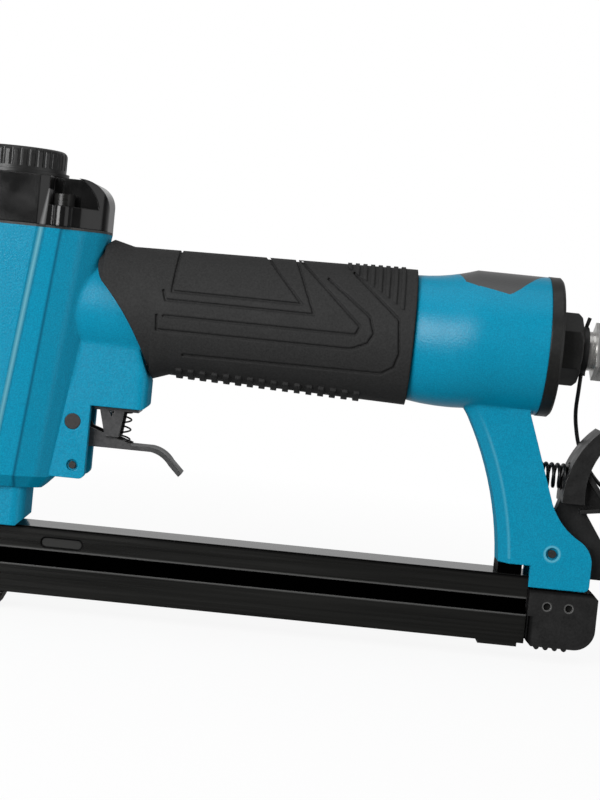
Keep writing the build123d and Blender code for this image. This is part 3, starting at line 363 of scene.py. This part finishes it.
paint = {
    "deep": (0.000, 0.205, 0.345), "light": (0.000, 0.275, 0.445), "flake": 2600, "flakeSpan": (0.34, 0.66),
    "cloud": 90, "rough": (0.28, 0.36), "specular": 0.25, "peel": 1500, "peelDeep": 0.075,
    # along each side of the head: a painted highlight shows pale along the raised panel's flank, and painted shade as
    # a thin dark line along the shoulder behind it
    "headZ": (0.046, 0.1287), "headY": 0.013,
    "flank": (0.00235, 0.0128), "flankWide": 0.0009, "paintedHighlight": (0.17, 0.52, 0.64),
    "shoulder": (0.0104, 0.0191), "shoulderWide": 0.0008, "shoulderShade": (0.000, 0.110, 0.195),
    # painted highlights along the chamfer line of the strut's front edge, fading towards its top, and on the rim of
    # the catch pin's well
    "strutMid": (0.05944, 0, 0.02334), "strutArc": 0.1186, "strutWide": 0.0007,
    "strutLow": 0.034, "strutFade": (0.072, 0.082), "strutShow": 0.28,
    "wellMid": (0.1918, 0, 0.0370), "wellArc": 0.0025, "wellWide": 0.0006, "wellShow": 0.6,
    # half width of the grey field on the flare's crown, as shares of its most, along its length
    "patch": (0.078, 0.079, 0.080), "fieldX": (0.151, 0.181), "fieldMost": 0.020, "fieldZ": 0.115,
    "field": (
        (0.0, 0.0), (0.04, 0.30), (0.08, 0.55), (0.217, 0.735), (0.45, 0.81), (0.557, 0.84), (0.60, 0.812),
        (0.687, 0.715), (0.81, 0.50), (0.96, 0.175), (1.0, 0.0),
    ),
    # faces that look along the tool are duller
    "dullTurn": (0.45, 0.70), "dull": 0.9,
    # eased edges: fine, and broad where the handle runs into the web and the flare
    "edge": (0.0005, 0.0030), "blendFrom": (0.019, 0.026), "blendTo": (0.170, 0.176), "blendZ": (0.076, 0.082),
    "flareEdge": 0.006, "flareFrom": (0.144, 0.150), "flareTo": (0.165, 0.171), "flareZ": (0.086, 0.092),
}


def addHeadLine(tree, x, z, track, wide):
    return addBand(tree, x, addRange(tree, z, *paint["headZ"], *track), wide)


def addPaintColour(tree, place, x, y, z):
    low, high = paint["flakeSpan"]
    colour = addRamp(tree, addNoise(tree, place, paint["flake"], 1.0), [(low, paint["deep"]), (high, paint["light"])])
    side = addOver(tree, addSize(tree, y), paint["headY"])
    # painted highlight along the raised panel's flank
    flank = addProduct(tree, side, addHeadLine(tree, x, z, paint["flank"], paint["flankWide"]))
    colour = addMix(tree, flank, colour, paint["paintedHighlight"])
    # painted shade along the shoulder
    shoulder = addProduct(tree, side, addHeadLine(tree, x, z, paint["shoulder"], paint["shoulderWide"]))
    colour = addMix(tree, shoulder, colour, paint["shoulderShade"])
    # painted highlights on the strut's front edge and the well's rim
    strut = addRing(tree, x, z, paint["strutMid"], paint["strutArc"], paint["strutWide"])
    fade = addRange(tree, z, *paint["strutFade"], paint["strutShow"], 0)
    strut = addProduct(tree, strut, fade, addOver(tree, z, paint["strutLow"]))
    well = addRing(tree, x, z, paint["wellMid"], paint["wellArc"], paint["wellWide"])
    colour = addMix(tree, addMost(tree, strut, addProduct(tree, well, paint["wellShow"])), colour, paint["paintedHighlight"])
    # plain grey field over the crown of the flare, widest behind its middle
    along = addRange(tree, x, *paint["fieldX"], 0, 1)
    share = addRamp(tree, along, [(at, grey(half)) for at, half in paint["field"]])
    inside = addOver(tree, addProduct(tree, share, paint["fieldMost"]), addSize(tree, y))
    inside = addProduct(tree, inside, addOver(tree, z, paint["fieldZ"]))
    return addMix(tree, inside, colour, paint["patch"])


def addPaintEdge(tree, x, z):
    blend = addProduct(
        tree, addRange(tree, x, *paint["blendFrom"], 0, 1), addRange(tree, x, *paint["blendTo"], 1, 0),
        addRange(tree, z, *paint["blendZ"], 0, 1),
    )
    flare = addProduct(
        tree, addRange(tree, x, *paint["flareFrom"], 0, 1), addRange(tree, x, *paint["flareTo"], 1, 0),
        addRange(tree, z, *paint["flareZ"], 0, paint["flareEdge"]),
    )
    return addMath(tree, "ADD", addRange(tree, blend, 0, 1, *paint["edge"]), flare)


def housingPaint():
    finish, tree, shader, place = startFinish("housingPaint")
    x, y, z = addSplit(tree, place)
    tree.links.new(addPaintColour(tree, place, x, y, z), shader.inputs["Base Color"])
    dull = addRange(tree, addTurn(tree, "X"), *paint["dullTurn"], 0, paint["dull"])
    rough = addRange(tree, addNoise(tree, place, paint["cloud"]), *noiseSpan, *paint["rough"])
    tree.links.new(addMost(tree, dull, rough), shader.inputs["Roughness"])
    shader.inputs["Specular IOR Level"].default_value = paint["specular"]
    addSurface(tree, shader, addNoise(tree, place, paint["peel"], 2.0), paint["peelDeep"], addPaintEdge(tree, x, z))
    return finish


gloss = {
    "dark": grey(0.005), "light": grey(0.009), "cloud": 140, "cloudSpan": (0.3, 0.75), "rough": (0.10, 0.17),
    "dullTurn": (0.55, 0.95), "dull": 0.34, "grain": 700, "deep": 0.003, "edge": 0.6,
    # a painted highlight along the panel's flank runs on over the cap, broad below and thin above
    "flankZ": (0.1293, 0.1414), "flank": (0.0130, 0.0143), "flankWide": (0.0010, 0.0004), "flankY": 0.013,
    "paintedHighlight": grey(0.24),
}


def glossBlack():
    finish, tree, shader, place = startFinish("glossBlack")
    cloud = addNoise(tree, place, gloss["cloud"])
    low, high = gloss["cloudSpan"]
    colour = addRamp(tree, cloud, [(low, gloss["dark"]), (high, gloss["light"])])
    x, y, z = addSplit(tree, place)
    # painted highlight along the flank, on the cap's sides below its top
    middle, wide = [addRange(tree, z, *gloss["flankZ"], *gloss[name]) for name in ("flank", "flankWide")]
    side = addOver(tree, addSize(tree, y), gloss["flankY"])
    below = addUnder(tree, z, gloss["flankZ"][1])
    flank = addProduct(tree, addBand(tree, x, middle, wide), side, below)
    tree.links.new(addMix(tree, flank, colour, gloss["paintedHighlight"]), shader.inputs["Base Color"])
    dull = addRange(tree, addTurn(tree, "X"), *gloss["dullTurn"], 0, gloss["dull"])
    rough = addRange(tree, cloud, *noiseSpan, *gloss["rough"])
    tree.links.new(addMost(tree, dull, rough), shader.inputs["Roughness"])
    addSurface(tree, shader, addNoise(tree, place, gloss["grain"], 2.0), gloss["deep"], gloss["edge"])
    return finish


rubber = {
    "dark": grey(0.018), "light": grey(0.029), "grain": 1500, "grainRough": 0.6, "cloud": 120,
    "rough": (0.60, 0.76), "specular": 0.25, "deep": 0.06, "edge": 0.9,
}


def gripRubber():
    finish, tree, shader, place = startFinish("gripRubber")
    grain = addNoise(tree, place, rubber["grain"], rough=rubber["grainRough"])
    low, high = noiseSpan
    tree.links.new(addRamp(tree, grain, [(low, rubber["dark"]), (high, rubber["light"])]), shader.inputs["Base Color"])
    rough = addRange(tree, addNoise(tree, place, rubber["cloud"]), *noiseSpan, *rubber["rough"])
    tree.links.new(rough, shader.inputs["Roughness"])
    shader.inputs["Specular IOR Level"].default_value = rubber["specular"]
    addSurface(tree, shader, grain, rubber["deep"], rubber["edge"])
    return finish


blackSteel = {
    "dark": (0.007, 0.007, 0.0065), "light": (0.012, 0.012, 0.011), "marks": (12, 700, 700), "markSpan": (0.3, 0.75),
    "rough": (0.24, 0.36), "specular": 0.4, "grain": 1300, "deep": 0.02, "edge": 0.35,
    # upright faces are outer where they stand apart from the middle, and set-back legs below the skirt, painted
    # near-black as painted shade
    "sideTurn": 0.7, "sideX": 0.005, "outerY": 0.0079, "skirtZ": 0.0209, "legShade": grey(0.0005), "dull": 0.85,
    # on the outer faces: a dark line of painted shade under the top edge, and bright lines of painted highlight where
    # the sheet ends above and below the gap
    "shade": grey(0.0012), "shadeZ": (0.0284, 0.0008),
    "glint": (0.085, 0.085, 0.083), "skirtGlint": (0.0212, 0.0005), "channelGlint": (0.01545, 0.0005),
    # the pressed slot near the front, with a lighter floor and its rim in painted shade
    "slotX": (0.0221, 0.0327), "slotZ": 0.02375, "slotRound": 0.0017, "slotWide": 0.0005, "slotFloor": 0.0014,
    "slotLight": (0.028, 0.028, 0.027),
    # flat tops are smoother and ends duller
    "topTurn": (0.6, 0.9), "topPolish": 0.5, "endTurn": (0.4, 0.7), "endDull": 0.8,
}


def addSlotReach(tree, x, z):
    # distance from the line between the middles of the slot's two round ends
    first, last = blackSteel["slotX"]
    nearest = addMath(tree, "MINIMUM", addMost(tree, x, first), last)
    past = addMath(tree, "SUBTRACT", x, nearest)
    above = addMath(tree, "SUBTRACT", z, blackSteel["slotZ"])
    squares = addMath(tree, "ADD", addMath(tree, "POWER", past, 2), addMath(tree, "POWER", above, 2))
    return addMath(tree, "SQRT", squares)


def magazineBlack():
    finish, tree, shader, place = startFinish("magazineBlack")
    # long rolling marks run with the sheet
    stretch = tree.nodes.new("ShaderNodeMapping")
    stretch.inputs["Scale"].default_value = blackSteel["marks"]
    tree.links.new(place, stretch.inputs["Vector"])
    marks = addNoise(tree, stretch.outputs["Vector"], 1.0)
    low, high = blackSteel["markSpan"]
    colour = addRamp(tree, marks, [(low, blackSteel["dark"]), (high, blackSteel["light"])])
    x, y, z = addSplit(tree, place)
    apart = addSize(tree, y)
    side = addOver(tree, addTurn(tree, "Y"), blackSteel["sideTurn"])
    side = addProduct(tree, side, addOver(tree, x, blackSteel["sideX"]))
    outer = addProduct(tree, side, addOver(tree, apart, blackSteel["outerY"]))
    # painted shade: the set-back legs below the skirt
    shadedLegs = addProduct(
        tree, side, addUnder(tree, apart, blackSteel["outerY"]), addUnder(tree, z, blackSteel["skirtZ"]),
    )
    # painted highlights where the sheet ends above and below the gap
    glints = [addBand(tree, z, *blackSteel[name]) for name in ("skirtGlint", "channelGlint")]
    colour = addMix(tree, addProduct(tree, outer, addMost(tree, *glints)), colour, blackSteel["glint"])
    near = addProduct(tree, outer, addUnder(tree, y, 0))
    reach = addSlotReach(tree, x, z)
    floor = addProduct(tree, near, addUnder(tree, reach, blackSteel["slotFloor"]))
    colour = addMix(tree, floor, colour, blackSteel["slotLight"])
    # painted shade on the slot's rim and under the top edge
    rim = addProduct(tree, near, addBand(tree, reach, blackSteel["slotRound"], blackSteel["slotWide"]))
    shade = addMost(tree, rim, addProduct(tree, outer, addBand(tree, z, *blackSteel["shadeZ"])))
    colour = addMix(tree, shade, colour, blackSteel["shade"])
    tree.links.new(addMix(tree, shadedLegs, colour, blackSteel["legShade"]), shader.inputs["Base Color"])
    rough = addRange(tree, marks, *noiseSpan, *blackSteel["rough"])
    tops = addRange(tree, addTurn(tree, "Z"), *blackSteel["topTurn"], 1, blackSteel["topPolish"])
    ends = addRange(tree, addTurn(tree, "X"), *blackSteel["endTurn"], 0, blackSteel["endDull"])
    # the painted shade is also made dull and without sheen
    dull = addMost(tree, shadedLegs, shade)
    rough = addMost(tree, addProduct(tree, rough, tops), ends, addProduct(tree, dull, blackSteel["dull"]))
    tree.links.new(rough, shader.inputs["Roughness"])
    tree.links.new(dull, shader.inputs["Metallic"])  # takes the sheen off as well
    shader.inputs["Specular IOR Level"].default_value = blackSteel["specular"]
    addSurface(
        tree, shader, addNoise(tree, place, blackSteel["grain"], 2.0), blackSteel["deep"], blackSteel["edge"],
    )
    return finish


plain = {"grainRough": 0.55, "grainSpan": (0.3, 0.72), "cloud": 220}


def addPlain(tree, place, dark, light, rough, grain):
    noise = addNoise(tree, place, grain, rough=plain["grainRough"])
    low, high = plain["grainSpan"]
    colour = addRamp(tree, noise, [(low, dark), (high, light)])
    return noise, colour, addRange(tree, addNoise(tree, place, plain["cloud"]), *noiseSpan, *rough)


def plainFinish(name, dark, light, rough, metal=0.0, grain=900, deep=0.02, edge=0.3):
    finish, tree, shader, place = startFinish(name)
    noise, colour, dull = addPlain(tree, place, dark, light, rough, grain)
    tree.links.new(colour, shader.inputs["Base Color"])
    tree.links.new(dull, shader.inputs["Roughness"])
    shader.inputs["Metallic"].default_value = metal
    addSurface(tree, shader, noise, deep, edge)
    return finish


rearBlock = {
    "dark": grey(0.010), "light": grey(0.018), "rough": (0.32, 0.48), "grain": 1400, "deep": 0.02, "edge": 0.3,
    # painted highlights on the rims of the two screw holes
    "holes": ((0.1920, 0, 0.0191), (0.1994, 0, 0.0191)), "holeRound": 0.0013, "holeWide": 0.0005,
    "rimHighlight": (0.12, 0.12, 0.118),
    # dark painted shade along the joints to the strut above and the channel in front
    "joint": grey(0.001), "topZ": (0.0247, 0.0015), "frontX": (0.1864, 0.0016), "frontZ": 0.0155, "dull": 0.85,
}


def blockPlastic():
    finish, tree, shader, place = startFinish("blockPlastic")
    noise, colour, rough = addPlain(
        tree, place, rearBlock["dark"], rearBlock["light"], rearBlock["rough"], rearBlock["grain"],
    )
    x, _, z = addSplit(tree, place)
    # painted highlights on the screw holes' rims
    rims = [addRing(tree, x, z, hole, rearBlock["holeRound"], rearBlock["holeWide"]) for hole in rearBlock["holes"]]
    colour = addMix(tree, addMost(tree, *rims), colour, rearBlock["rimHighlight"])
    # painted shade at the joints, also dull and without sheen
    front = addProduct(tree, addBand(tree, x, *rearBlock["frontX"]), addUnder(tree, z, rearBlock["frontZ"]))
    joint = addMost(tree, front, addBand(tree, z, *rearBlock["topZ"]))
    tree.links.new(addMix(tree, joint, colour, rearBlock["joint"]), shader.inputs["Base Color"])
    rough = addMost(tree, rough, addProduct(tree, joint, rearBlock["dull"]))
    tree.links.new(rough, shader.inputs["Roughness"])
    tree.links.new(joint, shader.inputs["Metallic"])
    addSurface(tree, shader, noise, rearBlock["deep"], rearBlock["edge"])
    return finish


turned = {
    "dark": (0.66, 0.65, 0.63), "light": (0.82, 0.81, 0.79), "cloud": 300, "rings": 150, "waver": 0.6,
    "metal": 0.8, "rough": (0.20, 0.34), "deep": 0.05, "edge": 0.25,
}


def turnedSteel():
    # rings left by the lathe, about the inlet's own axis
    finish, tree, shader, place = startFinish("turnedSteel")
    wave = tree.nodes.new("ShaderNodeTexWave")
    wave.wave_type = "BANDS"
    wave.bands_direction = "X"
    wave.inputs["Scale"].default_value = turned["rings"]
    wave.inputs["Distortion"].default_value = turned["waver"]
    tree.links.new(place, wave.inputs["Vector"])
    rings = wave.outputs["Fac"]
    low, high = noiseSpan
    colour = addRamp(tree, addNoise(tree, place, turned["cloud"]), [(low, turned["dark"]), (high, turned["light"])])
    tree.links.new(colour, shader.inputs["Base Color"])
    shader.inputs["Metallic"].default_value = turned["metal"]
    tree.links.new(addRange(tree, rings, 0, 1, *turned["rough"]), shader.inputs["Roughness"])
    addSurface(tree, shader, rings, turned["deep"], turned["edge"])
    return finish


finishes = {
    "painted_casting": housingPaint(),
    "gloss_black": glossBlack(),
    "grip_rubber": gripRubber(),
    "black_steel": magazineBlack(),
    "bright_steel": turnedSteel(),
    "black_plastic": plainFinish("blackPlastic", grey(0.010), grey(0.018), (0.32, 0.48), grain=1400),
    "seal_rubber": plainFinish("sealRubber", grey(0.012), grey(0.022), (0.55, 0.7), grain=1200),
    "gasket_sheet": plainFinish("gasketSheet", grey(0.03), (0.06, 0.06, 0.058), (0.6, 0.8), grain=2200, edge=0),
    "grey_steel": plainFinish(
        "greySteel", (0.045, 0.045, 0.046), (0.075, 0.075, 0.076), (0.36, 0.5), metal=0.3, grain=1100,
    ),
    "pin_steel": plainFinish(
        "pinSteel", (0.034, 0.031, 0.030), (0.052, 0.047, 0.046), (0.38, 0.52), metal=0.4, grain=1500,
    ),
    "spring_steel": plainFinish(
        "springSteel", grey(0.006), (0.014, 0.014, 0.015), (0.26, 0.4), metal=0.3, grain=1800, deep=0.01, edge=0,
    ),
    "aluminium": plainFinish("turnedAluminium", (0.55, 0.55, 0.56), (0.68, 0.68, 0.70), (0.28, 0.42), metal=1.0),
    "cord_black": plainFinish("cordBlack", grey(0.008), grey(0.016), (0.38, 0.5), grain=1600, edge=0),
}
# pieces that look otherwise than the rest of their slot
satin = plainFinish("satinBlack", (0.010, 0.010, 0.0095), (0.018, 0.018, 0.017), (0.34, 0.48), grain=1300, edge=0.6)
# the rail spacer sits in shade: near-black and without sheen, as painted shade
recessShade = plainFinish("recessShadeBlack", grey(0.001), grey(0.003), (0.65, 0.80), metal=1.0, grain=1200)
ownFinishes = {
    "handle_end_cap": satin, "inlet_bush": satin, "rail_spacer": recessShade, "magazine_grip": blockPlastic(),
}


def wear(piece, finish):
    piece.data.materials.clear()
    piece.data.materials.append(finish)


for entry in frame["record"]["subparts"]:
    name = entry["node"]
    wear(cadNodes[name], ownFinishes.get(name) or finishes[entry["material_slot"]])
for coil in coils:
    wear(coil, finishes["spring_steel"])
wear(tetherCord, finishes["cord_black"])
print("finishes on,", len(finishes) + len(ownFinishes))


# White studio
studio = {
    "worldLight": 0.42,
    "mirrorLight": (0.04, 0.60),  # what gloss sees of the room, in front of the tool and behind it
    "mirrorTurn": (0.40, 1.00),
}
sheet = {
    "dark": grey(0.90), "light": grey(0.93), "cloud": 3, "rough": 0.8, "size": 8, "x": 0.1, "back": 2.6,
    "glow": (0.90, 1.0), "glowReach": (0.25, 0.55),
}
lamps = {
    "keySoftbox": {"place": (-0.42, -0.80, 0.36), "aim": (0.10, 0, 0.09), "size": 0.55, "power": 8.2},
    "topSoftbox": {"place": (0.08, -0.10, 0.95), "aim": (0.10, 0, 0.08), "size": 0.8, "power": 1.5},
    "sideSoftbox": {"place": (1.00, -0.34, 0.25), "aim": (0.05, 0, 0.09), "size": 0.9, "power": 2.2},
}


def softWhite():
    world = bpy.data.worlds.new("softWhite")
    world.use_nodes = True
    tree = world.node_tree
    ground = tree.nodes["Background"]
    path = tree.nodes.new("ShaderNodeLightPath")
    way = tree.nodes.new("ShaderNodeTexCoord")
    behind = addSplit(tree, way.outputs["Generated"])["Y"]
    seen = addRange(tree, behind, *studio["mirrorTurn"], *studio["mirrorLight"])
    glossy = path.outputs["Is Glossy Ray"]
    other = addMath(tree, "SUBTRACT", 1, glossy)
    lit = addMath(
        tree, "ADD", addProduct(tree, glossy, seen), addProduct(tree, other, studio["worldLight"]),
    )
    tree.links.new(addMost(tree, lit, path.outputs["Is Camera Ray"]), ground.inputs["Strength"])
    ground.inputs["Color"].default_value = (1, 1, 1, 1)
    scene.world = world


def paperFinish():
    finish, tree, shader, place = startFinish("paleSweep")
    low, high = noiseSpan
    cloud = addNoise(tree, place, sheet["cloud"], 2.0)
    tree.links.new(addRamp(tree, cloud, [(low, sheet["dark"]), (high, sheet["light"])]), shader.inputs["Base Color"])
    shader.inputs["Roughness"].default_value = sheet["rough"]
    glow = tree.nodes.new("ShaderNodeEmission")
    glow.inputs["Strength"].default_value = 1.0
    # white where the camera looks past the tool, with room for its shadow close by
    away = tree.nodes.new("ShaderNodeVectorMath")
    away.operation = "LENGTH"
    tree.links.new(place, away.inputs[0])
    white = addRange(tree, away.outputs["Value"], *sheet["glowReach"], *sheet["glow"])
    path = tree.nodes.new("ShaderNodeLightPath")
    seen = addMost(tree, path.outputs["Is Camera Ray"], path.outputs["Is Transmission Ray"])
    blend = tree.nodes.new("ShaderNodeMixShader")
    tree.links.new(addProduct(tree, seen, white), blend.inputs["Fac"])
    tree.links.new(shader.outputs["BSDF"], blend.inputs[1])
    tree.links.new(glow.outputs["Emission"], blend.inputs[2])
    tree.links.new(blend.outputs["Shader"], tree.nodes["Material Output"].inputs["Surface"])
    return finish


def paleSweep():
    # one sheet: floor under the tool, rising to a wall far behind it
    clearSelection()
    half = sheet["size"] / 2
    middle = (sheet["x"], sheet["back"] - half, cadBox[0][2])
    bpy.ops.mesh.primitive_plane_add(size=sheet["size"], location=middle)
    sweep = bpy.context.object
    sweep.name = "paleSweep"
    bpy.ops.object.mode_set(mode="EDIT")
    bpy.ops.mesh.select_mode(type="EDGE")
    bpy.ops.mesh.select_all(action="DESELECT")
    bpy.ops.object.mode_set(mode="OBJECT")
    for edge in sweep.data.edges:
        edge.select = all(sweep.data.vertices[i].co.y > 0 for i in edge.vertices)
    bpy.ops.object.mode_set(mode="EDIT")
    bpy.ops.mesh.extrude_region_move(TRANSFORM_OT_translate={"value": (0, 0, half)})
    bpy.ops.object.mode_set(mode="OBJECT")
    bpy.ops.object.transform_apply(location=True)
    sweep.visible_glossy = False
    sweep.visible_diffuse = False
    wear(sweep, paperFinish())


def addLamp(name, lamp):
    bpy.ops.object.light_add(type="AREA", location=lamp["place"])
    light = bpy.context.object
    light.name = name
    light.data.size = lamp["size"]
    light.data.energy = lamp["power"]
    aim = Vector(lamp["aim"]) - Vector(lamp["place"])
    light.rotation_euler = aim.to_track_quat("-Z", "Y").to_euler()


softWhite()
paleSweep()
for name, lamp in lamps.items():
    addLamp(name, lamp)
print("studio lit")

bpy.context.view_layer.update()
